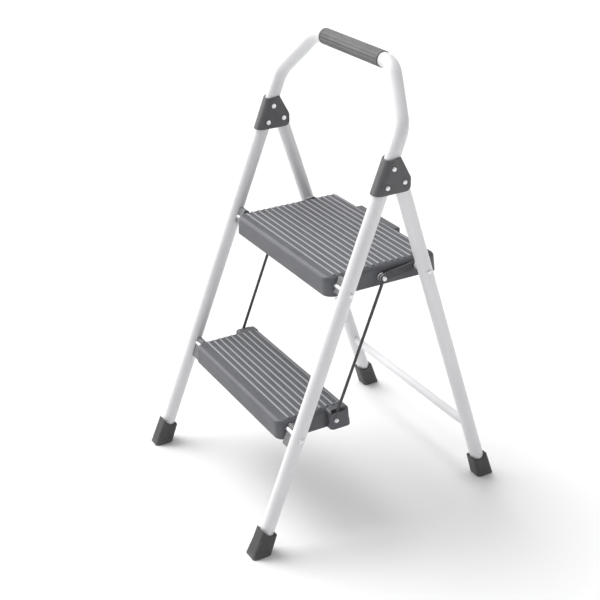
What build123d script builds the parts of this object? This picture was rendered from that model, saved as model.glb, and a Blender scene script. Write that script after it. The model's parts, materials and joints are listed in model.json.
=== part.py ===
"""Folding two-step stool: a bent tube front frame, a swinging rear frame and two moulded steps.

Millimetres. +Z is up, the front of the stool faces -Y and X runs across it. The origin is on the
floor, in the middle of the open stool. "left" is the -X side and "right" is the +X side.
The stool is drawn open, with both steps level.
"""
import os
from math import acos, atan2, cos, degrees, hypot, radians, sin

from build123d import *

os.makedirs("parts", exist_ok=True)

# ---------------------------------------------------------------- driving dimensions
# Whole stool, open
UPPER_STEP_HEIGHT = 470.0   # floor to the top face of the upper step
LOWER_STEP_HEIGHT = 221.5   # floor to the top face of the lower step
STANCE = 485.0              # front leg axis to rear leg axis, on the floor
FRONT_RAKE = 21.75          # degrees that the front legs lean back
LEG_BASE_HALF = 212.0       # centre plane to a front leg axis, on the floor

# Tube frame
TUBE_RADIUS = 12.7
TUBE_WALL = 1.2
AXLE_TO_PIVOT = 203.4       # along a front leg, upper step's axle to the rear leg's pivot
PIVOT_TO_SHOULDER = 81.7    # on to the corner where the handle bends in
SHOULDER_TO_HANDLE = 88.2   # and on to the handle bar's axis
LEG_LEAN_IN = 9.2           # each front leg's lean towards the centre plane, floor to shoulder
HANDLE_HALF = 123.0         # centre plane to the corner at each end of the handle bar
HOOP_BEND = 50.0            # bend radius of the tube's axis
REAR_TUBE_TOP = 9.0         # the rear tube's end, past its pivot

# Handle grip
GRIP_LENGTH = 191.0
GRIP_WALL = 1.6
GRIP_FLUTES = 14
FLUTE_RADIUS = 1.1
GRIP_COLLAR = 4.0           # plain ring at each end of the grip

# Hinge bracket
TUBES_APART = 3.4           # front tube to rear tube at the pivot
BRACKET_WALL = 2.1
BRACKET_GAP = 0.4           # bracket's inside to the tubes
BRACKET_RIVET_PITCH = 32.4
BRACKET_FRONT_TOP = 25.0    # ends of its front edge, above and below the pivot
BRACKET_FRONT_BOTTOM = 36.0
BRACKET_PEAK = 38.0         # its highest point above the pivot, and behind the leg's axis
BRACKET_PEAK_BEHIND = 4.5
BRACKET_EDGE = 8.5          # plate behind the pivot at its upper rear corner
BRACKET_REAR_TOP = 10.5     # its two rear corners, above and below the pivot
BRACKET_REAR_BOTTOM = 11.0
BRACKET_CORNER = 10.0       # rounding of the plate's two rear corners
RIVET_RECESS = 0.7
RIVET_RECESS_RADIUS = 6.0

# Fasteners
RIVET_RADIUS = 3.0
RIVET_RIM = 1.4             # the head's radius past the shank's
RIVET_HEAD = 2.6
RIVET_TAIL = 1.2
AXLE_RADIUS = 4.0
AXLE_RIM = 1.0
AXLE_HEAD = 2.8
PIN_CLEARANCE = 0.08        # radial, where a piece turns on a pin
HOLE_CLEARANCE = 0.05       # radial, where a pin is held still

# Steps
STEP_DEPTH = 35.0           # height of a step's skirt
UPPER_SIDE_GAP = 21.3       # step's side to the front leg
LOWER_SIDE_GAP = 23.4
UPPER_LENGTH = 222.5        # front edge to rear edge
LOWER_LENGTH = 137.5
UPPER_AXLE_DROP = 15.0      # step's top face down to its axle
LOWER_AXLE_DROP = 13.5
AXLE_SETBACK = 17.0         # step's front edge back to its axle
STEP_WALL = 2.8
STEP_PLATE = 3.4
FRONT_CORNER = 18.0
REAR_CORNER = 8.0
NOSING = 6.0                # round over along the top edges
LIP_LEFT = -86.0            # ends of the lip on the upper step's rear edge
LIP_RIGHT = 46.0
LIP_REACH = 6.0
LIP_DEPTH = 14.0
TREAD_PITCH = 12.7
TREAD_WIDTH = 4.4
TREAD_HEIGHT = 1.2
TREAD_TAPER = 25            # degrees
TREAD_MARGIN = 9.5          # rib ends to the step's side
UPPER_TREAD_FRONT = 19.5    # step's front edge to the middle of its first rib
LOWER_TREAD_FRONT = 24.5
TREAD_REAR = 8.0            # least distance from the last rib to the rear edge
WEB_THICK = 2.2
WEB_DEPTH = 22.0
WEB_PITCH = 43.0
WEB_COUNT = 7               # webs that run front to rear
WEB_CLEARANCE = 1.0         # radial, axle to the webs that it passes
BOSS_RADIUS = 9.0
BOSS_LENGTH = 12.0

# Ears at the lower step's rear, where the rods' lower ends turn in channels
CHANNEL_PLAY = 0.8          # round the rod and its eye
EAR_WALL = 3.0
EAR_SLIT_LENGTH = 7.5       # slanted slit in the outer wall, above the rivet
EAR_SLIT_WIDTH = 1.6
EAR_SLIT_UP = 9.4
EAR_SLIT_TILT = 45          # degrees

# Folding linkage, beside each step
ARM_BACK = 88.5             # axle back to the rod rivet, the same on both steps
ARM_DROP = 4.0              # axle down to the rod rivet
LINK_PIVOT_DROP = 10.0      # upper step's top face down to the lock link's pivot on the rear leg
LINK_OFFSET = 3.8           # upper step's side to the lock link
LINK_THICK = 3.0
LINK_WIDTH = 14.0
LINK_PIN_HEAD = 2.8
LINK_TO_ROD = 1.4           # between the lock link and the rod's flattened end
ROD_RADIUS = 2.7
ROD_EYE_RADIUS = 6.4
ROD_EYE_THICK = 3.2
ROD_NECK = 13.0             # flattened stretch from each rivet towards the round rod
ROD_NECK_WIDTH = 6.4
ROD_SHANK_START = 8.0       # rivet to the start of the round rod
SIDE_PLAY = 0.1             # between pieces stacked on one rivet
LINK_PLAY = 0.6             # lock link to the spacer on the rear leg
WASHER_RADIUS = 7.0

# Leg spacers, between a front leg and a step
UPPER_SPACER_ABOVE = 18.0   # past the axle, along the leg
UPPER_SPACER_BELOW = 12.0
LOWER_SPACER_ABOVE = 11.0
LOWER_SPACER_BELOW = 28.0
SPACER_FRONT = 2.0          # in front of the leg's axis
SPACER_BACK = 14.5          # behind the leg's axis
SPACER_CORNER = 2.0
SPACER_PLAY = 0.5           # to the step's side
ROD_GROOVE_FLOOR = 6.0      # rod groove's floor behind the leg's axis
ROD_GROOVE_PLAY = 0.8       # each side of the rod

# Rear brace
BRACE_HEIGHT = 115.0
BRACE_RADIUS = 8.0
BRACE_WALL = 1.0
BRACE_FLAT_HALF_HEIGHT = 11.0
BRACE_FLAT_HALF_THICK = 4.2
BRACE_SQUEEZE = 38.0        # length over which each end is squeezed flat

# Feet
FOOT_SOLE = 10.0            # rubber below the tube's end, along the leg
FOOT_WALL = 2.5
FOOT_FLARE_SIDE = 0.4       # how far the foot widens to the floor
FOOT_FLARE_LENGTH = 2.4
FOOT_CORNER = 7.0
FOOT_RIM_UP = 48.0          # along the leg, floor to the middle of the rim
FOOT_RIM_TILT = 12.0        # degrees, the rim is higher at the front
SCALLOP_RADIUS = 21.0
SCALLOP_DROP = 4.5

# ---------------------------------------------------------------- derived geometry
RAKE = radians(FRONT_RAKE)
SIDES = ((-1, "left"), (1, "right"))
FRONT_Y = -STANCE / 2
UPPER_AXLE_UP = (UPPER_STEP_HEIGHT - UPPER_AXLE_DROP) / cos(RAKE)
LOWER_AXLE_UP = (LOWER_STEP_HEIGHT - LOWER_AXLE_DROP) / cos(RAKE)
PIVOT_UP = UPPER_AXLE_UP + AXLE_TO_PIVOT
SHOULDER_UP = PIVOT_UP + PIVOT_TO_SHOULDER
HANDLE_UP = SHOULDER_UP + SHOULDER_TO_HANDLE
SHOULDER_HALF = LEG_BASE_HALF - LEG_LEAN_IN
GRIP_RADIUS = TUBE_RADIUS + GRIP_WALL
PIVOT_BEHIND = 2 * TUBE_RADIUS + TUBES_APART
RIVET_HEAD_RADIUS = RIVET_RADIUS + RIVET_RIM
AXLE_HEAD_RADIUS = AXLE_RADIUS + AXLE_RIM
FOOT_TOP_HALF = TUBE_RADIUS + FOOT_WALL
FOOT_BASE_HALF_WIDTH = FOOT_TOP_HALF + FOOT_FLARE_SIDE
FOOT_BASE_HALF_LENGTH = FOOT_TOP_HALF + FOOT_FLARE_LENGTH


def front_point(up_leg, behind=0.0):
    """(y, z) of a point measured up the front leg's axis and square to it, towards the rear."""
    return (FRONT_Y + up_leg * sin(RAKE) + behind * cos(RAKE), up_leg * cos(RAKE) - behind * sin(RAKE))


def front_leg_half(up_leg):
    """Centre plane to the front leg's axis: the legs lean in slightly on the way up."""
    return LEG_BASE_HALF - LEG_LEAN_IN * up_leg / SHOULDER_UP


def shifted(point, back, rise):
    """A (y, z) point moved back and up."""
    return (point[0] + back, point[1] + rise)


PIVOT = front_point(PIVOT_UP, PIVOT_BEHIND)
REAR_HALF = front_leg_half(PIVOT_UP)
REAR_FLOOR = (FRONT_Y + STANCE, 0.0)
REAR_LENGTH = hypot(REAR_FLOOR[0] - PIVOT[0], PIVOT[1])
REAR_LEAN = atan2(REAR_FLOOR[0] - PIVOT[0], PIVOT[1])


def rear_point(up_leg, behind=0.0):
    """(y, z) of a point measured up the rear leg's axis from the floor and square to it."""
    return (REAR_FLOOR[0] - up_leg * sin(REAR_LEAN) + behind * cos(REAR_LEAN),
            up_leg * cos(REAR_LEAN) + behind * sin(REAR_LEAN))


UPPER_AXLE = front_point(UPPER_AXLE_UP)
LOWER_AXLE = front_point(LOWER_AXLE_UP)
UPPER_ROD_PIVOT = shifted(UPPER_AXLE, ARM_BACK, -ARM_DROP)
LOWER_ROD_PIVOT = shifted(LOWER_AXLE, ARM_BACK, -ARM_DROP)
LINK_PIVOT = rear_point((UPPER_STEP_HEIGHT - LINK_PIVOT_DROP) / cos(REAR_LEAN))
ROD_LENGTH = hypot(UPPER_ROD_PIVOT[0] - LOWER_ROD_PIVOT[0], UPPER_ROD_PIVOT[1] - LOWER_ROD_PIVOT[1])
LINK_LENGTH = hypot(LINK_PIVOT[0] - UPPER_ROD_PIVOT[0], LINK_PIVOT[1] - UPPER_ROD_PIVOT[1])
BRACKET_RIVETS = [front_point(PIVOT_UP + BRACKET_RIVET_PITCH / 2),
                  front_point(PIVOT_UP - BRACKET_RIVET_PITCH / 2)]

BRACKET_HALF = TUBE_RADIUS + BRACKET_GAP + BRACKET_WALL
UPPER_HALF_WIDTH = front_leg_half(UPPER_AXLE_UP) - TUBE_RADIUS - UPPER_SIDE_GAP
LOWER_HALF_WIDTH = front_leg_half(LOWER_AXLE_UP) - TUBE_RADIUS - LOWER_SIDE_GAP
LINK_X = UPPER_HALF_WIDTH + LINK_OFFSET
ROD_X = LINK_X + LINK_THICK + LINK_TO_ROD
ROD_HEAD_X = ROD_X + ROD_EYE_THICK + SIDE_PLAY
LINK_SPACER_X = LINK_X + LINK_THICK + LINK_PLAY
ROD_MIDDLE_X = ROD_X + ROD_EYE_THICK / 2
CHANNEL_INNER_X = ROD_MIDDLE_X - ROD_RADIUS - CHANNEL_PLAY
CHANNEL_OUTER_X = ROD_MIDDLE_X + ROD_RADIUS + CHANNEL_PLAY
CHANNEL_RADIUS = ROD_EYE_RADIUS + CHANNEL_PLAY
EAR_HALF_WIDTH = CHANNEL_OUTER_X + EAR_WALL
EAR_FRONT = LOWER_ROD_PIVOT[0] - CHANNEL_RADIUS - EAR_WALL

FRONT_PLANE = Plane(origin=(0, FRONT_Y, 0), x_dir=(1, 0, 0), z_dir=(0, -cos(RAKE), sin(RAKE)))

LEG_AXIS = Axis((0, FRONT_Y, 0), (0, sin(RAKE), cos(RAKE)))


def front_leg_plane(hand, up_leg):
    """Plane across a front leg: its z runs up the leg, its x runs along the stool's X."""
    low = FRONT_PLANE.from_local_coords((hand * front_leg_half(0), 0, 0))
    high = FRONT_PLANE.from_local_coords((hand * front_leg_half(SHOULDER_UP), SHOULDER_UP, 0))
    here = FRONT_PLANE.from_local_coords((hand * front_leg_half(up_leg), up_leg, 0))
    return Plane(origin=here, x_dir=(1, 0, 0), z_dir=high - low)


def rear_leg_plane(hand, up_leg):
    """Plane across a rear leg: its z runs up the leg, its x runs along the stool's X."""
    y, z = rear_point(up_leg)
    return Plane(origin=(hand * REAR_HALF, y, z), x_dir=(1, 0, 0),
                 z_dir=(0, -sin(REAR_LEAN), cos(REAR_LEAN)))


def across(hand, x, point):
    """Location on a (y, z) point at distance x from the centre plane, its z pointing outwards."""
    return Location((hand * x, point[0], point[1]), (0, hand * 90, 0))


# ---------------------------------------------------------------- fasteners
def domed_pin(grip, shank, head, dome, tail=0.0):
    """Rivet along +Z: its dome starts at z = grip and its flat formed tail ends below z = 0."""
    crown_radius = (head**2 + dome**2) / (2 * dome)
    crown_start = degrees(acos(head / crown_radius))
    with BuildPart() as pin:
        with BuildSketch(Plane.XZ):
            with BuildLine():
                CenterArc((0, grip + dome - crown_radius), crown_radius, crown_start, 90 - crown_start)
                Polyline((0, grip + dome), (0, 0), (shank, 0), (shank, grip), (head, grip))
            make_face()
        revolve(axis=Axis.Z)
        if tail:
            with Locations((0, 0, -tail)):
                Cylinder(head, tail, align=(Align.CENTER, Align.CENTER, Align.MIN))
    return pin.part


def ring(outer, inner, thick):
    """Plain washer from z = 0 up."""
    with BuildPart() as washer:
        with BuildSketch():
            Circle(outer)
            Circle(inner, mode=Mode.SUBTRACT)
        extrude(amount=thick)
    return washer.part


# ---------------------------------------------------------------- front frame tube
# One tube: up a leg, in over the shoulder, across as the handle bar and down the other leg.
with BuildPart() as front_frame_tube:
    with BuildLine(FRONT_PLANE) as hoop:
        FilletPolyline((-front_leg_half(FOOT_SOLE), FOOT_SOLE), (-SHOULDER_HALF, SHOULDER_UP),
                       (-HANDLE_HALF, HANDLE_UP), (HANDLE_HALF, HANDLE_UP),
                       (SHOULDER_HALF, SHOULDER_UP), (front_leg_half(FOOT_SOLE), FOOT_SOLE),
                       radius=HOOP_BEND)
    with BuildSketch(Plane(origin=hoop.line @ 0, z_dir=hoop.line % 0)):
        Circle(TUBE_RADIUS)
        Circle(TUBE_RADIUS - TUBE_WALL, mode=Mode.SUBTRACT)
    sweep()
    with BuildSketch(Plane.YZ):
        with Locations(*BRACKET_RIVETS):
            Circle(RIVET_RADIUS + HOLE_CLEARANCE)
        with Locations(UPPER_AXLE, LOWER_AXLE):
            Circle(AXLE_RADIUS + HOLE_CLEARANCE)
    extrude(amount=LEG_BASE_HALF + 2 * TUBE_RADIUS, both=True, mode=Mode.SUBTRACT)

front_frame_tube.part.label = "front_frame_tube"
export_step(front_frame_tube.part, "parts/front_frame_tube.step")

# ---------------------------------------------------------------- handle grip
with BuildPart() as handle_grip:
    with BuildSketch(Plane.YZ.offset(-GRIP_LENGTH / 2)):
        with Locations(front_point(HANDLE_UP)):
            Circle(GRIP_RADIUS)
            Circle(TUBE_RADIUS, mode=Mode.SUBTRACT)
    extrude(amount=GRIP_LENGTH)
    with BuildSketch(Plane.YZ.offset(GRIP_COLLAR - GRIP_LENGTH / 2)):
        with Locations(front_point(HANDLE_UP)):
            with PolarLocations(GRIP_RADIUS + FLUTE_RADIUS / 3, GRIP_FLUTES):
                Circle(FLUTE_RADIUS)
    extrude(amount=GRIP_LENGTH - 2 * GRIP_COLLAR, mode=Mode.SUBTRACT)

handle_grip.part.label = "handle_grip"
export_step(handle_grip.part, "parts/handle_grip.step")

# ---------------------------------------------------------------- hinge brackets
# A folded plate round the front tube; the rear leg hangs between its two cheeks.
for hand, side in SIDES:
    with BuildPart() as hinge_bracket:
        with BuildSketch(Plane.YZ.offset(hand * REAR_HALF)) as cheek:
            with BuildLine():
                Polyline(front_point(PIVOT_UP + BRACKET_FRONT_TOP, -BRACKET_HALF),
                         front_point(PIVOT_UP + BRACKET_PEAK, BRACKET_PEAK_BEHIND),
                         front_point(PIVOT_UP + BRACKET_REAR_TOP, PIVOT_BEHIND + BRACKET_EDGE),
                         front_point(PIVOT_UP - BRACKET_REAR_BOTTOM, PIVOT_BEHIND + 2 * BRACKET_EDGE),
                         front_point(PIVOT_UP - BRACKET_FRONT_BOTTOM, -BRACKET_HALF), close=True)
            make_face()
            fillet(cheek.vertices().sort_by(Axis.X)[-2:], BRACKET_CORNER)
        extrude(amount=BRACKET_HALF, both=True)
        fillet(hinge_bracket.edges().filter_by(LEG_AXIS).sort_by(Axis.Y)[:2], TUBE_RADIUS)
        cut_low, cut_high = PIVOT_UP - 2 * BRACKET_PEAK, PIVOT_UP + 2 * BRACKET_PEAK
        with BuildSketch(front_leg_plane(hand, cut_low)):
            Circle(TUBE_RADIUS + BRACKET_GAP)
        extrude(amount=cut_high - cut_low, mode=Mode.SUBTRACT)
        with BuildSketch(Plane.YZ.offset(hand * REAR_HALF)):
            with BuildLine():
                Polyline(front_point(cut_low), front_point(cut_high),
                         front_point(cut_high, 2 * PIVOT_BEHIND),
                         front_point(cut_low, 2 * PIVOT_BEHIND), close=True)
            make_face()
        extrude(amount=TUBE_RADIUS + BRACKET_GAP, both=True, mode=Mode.SUBTRACT)
        for face_side in (-1, 1):
            recess_x = hand * REAR_HALF + face_side * (BRACKET_HALF - RIVET_RECESS)
            with BuildSketch(Plane.YZ.offset(recess_x)):
                with Locations(*BRACKET_RIVETS, PIVOT):
                    Circle(RIVET_RECESS_RADIUS)
            extrude(amount=face_side * 2 * RIVET_RECESS, mode=Mode.SUBTRACT)
        with BuildSketch(Plane.YZ.offset(hand * REAR_HALF)):
            with Locations(*BRACKET_RIVETS, PIVOT):
                Circle(RIVET_RADIUS + HOLE_CLEARANCE)
        extrude(amount=2 * BRACKET_HALF, both=True, mode=Mode.SUBTRACT)

    hinge_bracket.part.label = f"{side}_hinge_bracket"
    export_step(hinge_bracket.part, f"parts/{side}_hinge_bracket.step")

CHEEK_HALF = BRACKET_HALF - RIVET_RECESS
bracket_rivet = domed_pin(2 * CHEEK_HALF, RIVET_RADIUS, RIVET_HEAD_RADIUS, RIVET_HEAD, RIVET_TAIL)

with BuildPart() as bracket_rivets:
    for hand, side in SIDES:
        for point in BRACKET_RIVETS:
            with Locations(across(hand, REAR_HALF - CHEEK_HALF, point)):
                add(bracket_rivet)

bracket_rivets.part.label = "bracket_rivets"
export_step(bracket_rivets.part, "parts/bracket_rivets.step")

with BuildPart() as rear_pivot_rivets:
    for hand, side in SIDES:
        with Locations(across(hand, REAR_HALF - CHEEK_HALF, PIVOT)):
            add(bracket_rivet)

rear_pivot_rivets.part.label = "rear_pivot_rivets"
export_step(rear_pivot_rivets.part, "parts/rear_pivot_rivets.step")


# ---------------------------------------------------------------- feet
def rubber_foot(leg_plane, hand, rim_point, scallop_point, lean):
    """Moulded boot: flared to the floor, with a rim that dips at both sides of the tube."""
    low, high = leg_plane(hand, -2 * FOOT_SOLE), leg_plane(hand, FOOT_RIM_UP + FOOT_SOLE)
    bore_start = leg_plane(hand, FOOT_SOLE)
    with BuildPart() as foot:
        with BuildSketch(low):
            RectangleRounded(2 * FOOT_BASE_HALF_WIDTH, 2 * FOOT_BASE_HALF_LENGTH, FOOT_CORNER)
        with BuildSketch(high):
            RectangleRounded(2 * FOOT_TOP_HALF, 2 * FOOT_TOP_HALF, FOOT_CORNER)
        loft()
        split(bisect_by=Plane.XY, keep=Keep.TOP)
        tilt = lean + radians(FOOT_RIM_TILT)
        split(bisect_by=Plane(origin=(hand * LEG_BASE_HALF, *rim_point), z_dir=(0, sin(tilt), cos(tilt))),
              keep=Keep.BOTTOM)
        with BuildSketch(bore_start):
            Circle(TUBE_RADIUS)
        extrude(amount=2 * FOOT_RIM_UP, mode=Mode.SUBTRACT)
        with BuildSketch(Plane.YZ):
            with Locations(scallop_point):
                Circle(SCALLOP_RADIUS)
        extrude(amount=2 * LEG_BASE_HALF, both=True, mode=Mode.SUBTRACT)
    return foot.part


for hand, side in SIDES:
    with BuildPart() as front_foot:
        add(rubber_foot(front_leg_plane, hand, front_point(FOOT_RIM_UP),
                        front_point(FOOT_RIM_UP + SCALLOP_RADIUS - SCALLOP_DROP), RAKE))
    front_foot.part.label = f"{side}_front_foot"
    export_step(front_foot.part, f"parts/{side}_front_foot.step")

    with BuildPart() as rear_foot:
        add(rubber_foot(rear_leg_plane, hand, rear_point(FOOT_RIM_UP),
                        rear_point(FOOT_RIM_UP + SCALLOP_RADIUS - SCALLOP_DROP), -REAR_LEAN))
    rear_foot.part.label = f"{side}_rear_foot"
    export_step(rear_foot.part, f"parts/{side}_rear_foot.step")


# ---------------------------------------------------------------- rear frame
for hand, side in SIDES:
    with BuildPart() as rear_leg:
        with BuildSketch(rear_leg_plane(hand, FOOT_SOLE)):
            Circle(TUBE_RADIUS)
            Circle(TUBE_RADIUS - TUBE_WALL, mode=Mode.SUBTRACT)
        extrude(amount=REAR_LENGTH + REAR_TUBE_TOP - FOOT_SOLE)
        with BuildSketch(Plane.YZ):
            with Locations(PIVOT):
                Circle(RIVET_RADIUS + PIN_CLEARANCE)
            with Locations(LINK_PIVOT):
                Circle(RIVET_RADIUS + HOLE_CLEARANCE)
        extrude(amount=hand * (REAR_HALF + 2 * TUBE_RADIUS), mode=Mode.SUBTRACT)

    rear_leg.part.label = f"{side}_rear_leg"
    export_step(rear_leg.part, f"parts/{side}_rear_leg.step")


def brace_shape(radius, half_thick, half_height):
    """Round bar across the rear legs with both ends squeezed flat, upright."""
    y, z = rear_point(BRACE_HEIGHT / cos(REAR_LEAN))
    squeeze_start = REAR_HALF - BRACE_SQUEEZE
    with BuildPart() as bar:
        for hand in (-1, 1):
            start = Plane(origin=(hand * squeeze_start, y, z), x_dir=(0, cos(REAR_LEAN), sin(REAR_LEAN)),
                          z_dir=(hand, 0, 0))
            with BuildSketch(start):
                Circle(radius)
            with BuildSketch(start.offset(BRACE_SQUEEZE)):
                Ellipse(half_thick, half_height)
            loft()
        with BuildSketch(Plane.YZ.offset(-squeeze_start)):
            with Locations((y, z)):
                Circle(radius)
        extrude(amount=2 * squeeze_start)
    return bar.part


with BuildPart() as rear_brace:
    add(brace_shape(BRACE_RADIUS, BRACE_FLAT_HALF_THICK, BRACE_FLAT_HALF_HEIGHT))
    add(brace_shape(BRACE_RADIUS - BRACE_WALL, BRACE_FLAT_HALF_THICK - BRACE_WALL,
                    BRACE_FLAT_HALF_HEIGHT - BRACE_WALL), mode=Mode.SUBTRACT)
    for hand, side in SIDES:
        with BuildSketch(rear_leg_plane(hand, 0)):
            Circle(TUBE_RADIUS)
        extrude(amount=REAR_LENGTH, mode=Mode.SUBTRACT)

rear_brace.part.label = "rear_brace"
export_step(rear_brace.part, "parts/rear_brace.step")

# Spacers that hold each lock link off its rear leg, and the rivets that hold them on
for hand, side in SIDES:
    with BuildPart() as link_spacer:
        with BuildSketch(Plane.YZ.offset(hand * LINK_SPACER_X)):
            with Locations(LINK_PIVOT):
                Circle(WASHER_RADIUS)
                Circle(RIVET_RADIUS + HOLE_CLEARANCE, mode=Mode.SUBTRACT)
        extrude(amount=hand * (REAR_HALF - LINK_SPACER_X))
        with BuildSketch(rear_leg_plane(hand, 0)):
            Circle(TUBE_RADIUS)
        extrude(amount=REAR_LENGTH, mode=Mode.SUBTRACT)

    link_spacer.part.label = f"{side}_link_spacer"
    export_step(link_spacer.part, f"parts/{side}_link_spacer.step")

leg_rivet = domed_pin(REAR_HALF + TUBE_RADIUS - LINK_SPACER_X, RIVET_RADIUS, RIVET_HEAD_RADIUS, RIVET_HEAD)

with BuildPart() as leg_rivets:
    for hand, side in SIDES:
        with Locations(across(hand, LINK_SPACER_X, LINK_PIVOT)):
            add(leg_rivet)

leg_rivets.part.label = "leg_rivets"
export_step(leg_rivets.part, "parts/leg_rivets.step")


# ---------------------------------------------------------------- step axles and leg spacers
def step_axle(axle_up):
    """Steel rod right across the stool, headed outside each front leg."""
    outside = front_leg_half(axle_up) + TUBE_RADIUS + SIDE_PLAY
    half = domed_pin(outside, AXLE_RADIUS, AXLE_HEAD_RADIUS, AXLE_HEAD)
    with BuildPart() as axle:
        for hand in (-1, 1):
            with Locations(across(hand, 0, front_point(axle_up))):
                add(half)
    return axle.part


def leg_spacer(hand, axle_up, below, above, step_half_width, grooved):
    """Moulded block from the leg to the step's side; a groove lets the folded rod lie against it."""
    inner = step_half_width + SPACER_PLAY
    low, high = axle_up - below, axle_up + above
    past_low, past_high = low - SPACER_BACK, high + SPACER_BACK
    with BuildPart() as spacer:
        with BuildSketch(Plane.YZ.offset(hand * inner)) as block:
            with BuildLine():
                Polyline(front_point(low, -SPACER_FRONT), front_point(high, -SPACER_FRONT),
                         front_point(high, SPACER_BACK / 2),
                         front_point(high - SPACER_BACK / 2, SPACER_BACK),
                         front_point(low, SPACER_BACK), close=True)
            make_face()
            fillet(block.vertices(), SPACER_CORNER)
        extrude(amount=hand * (front_leg_half(axle_up) - inner))
        with BuildSketch(front_leg_plane(hand, past_low)):
            Circle(TUBE_RADIUS)
        extrude(amount=past_high - past_low, mode=Mode.SUBTRACT)
        with BuildSketch(Plane.YZ.offset(hand * inner)):
            with Locations(front_point(axle_up)):
                Circle(AXLE_RADIUS + HOLE_CLEARANCE)
        extrude(amount=hand * LEG_BASE_HALF, mode=Mode.SUBTRACT)
        if grooved:
            with BuildSketch(Plane.YZ.offset(hand * ROD_MIDDLE_X)):
                with BuildLine():
                    Polyline(front_point(past_low, ROD_GROOVE_FLOOR),
                             front_point(past_high, ROD_GROOVE_FLOOR),
                             front_point(past_high, 2 * SPACER_BACK),
                             front_point(past_low, 2 * SPACER_BACK), close=True)
                make_face()
            extrude(amount=ROD_RADIUS + ROD_GROOVE_PLAY, both=True, mode=Mode.SUBTRACT)
    return spacer.part


with BuildPart() as upper_step_axle:
    add(step_axle(UPPER_AXLE_UP))

upper_step_axle.part.label = "upper_step_axle"
export_step(upper_step_axle.part, "parts/upper_step_axle.step")

with BuildPart() as lower_step_axle:
    add(step_axle(LOWER_AXLE_UP))

lower_step_axle.part.label = "lower_step_axle"
export_step(lower_step_axle.part, "parts/lower_step_axle.step")

for hand, side in SIDES:
    with BuildPart() as upper_spacer:
        add(leg_spacer(hand, UPPER_AXLE_UP, UPPER_SPACER_BELOW, UPPER_SPACER_ABOVE, UPPER_HALF_WIDTH,
                       grooved=True))
    upper_spacer.part.label = f"{side}_upper_spacer"
    export_step(upper_spacer.part, f"parts/{side}_upper_spacer.step")

    with BuildPart() as lower_spacer:
        add(leg_spacer(hand, LOWER_AXLE_UP, LOWER_SPACER_BELOW, LOWER_SPACER_ABOVE, LOWER_HALF_WIDTH,
                       grooved=False))
    lower_spacer.part.label = f"{side}_lower_spacer"
    export_step(lower_spacer.part, f"parts/{side}_lower_spacer.step")


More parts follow.
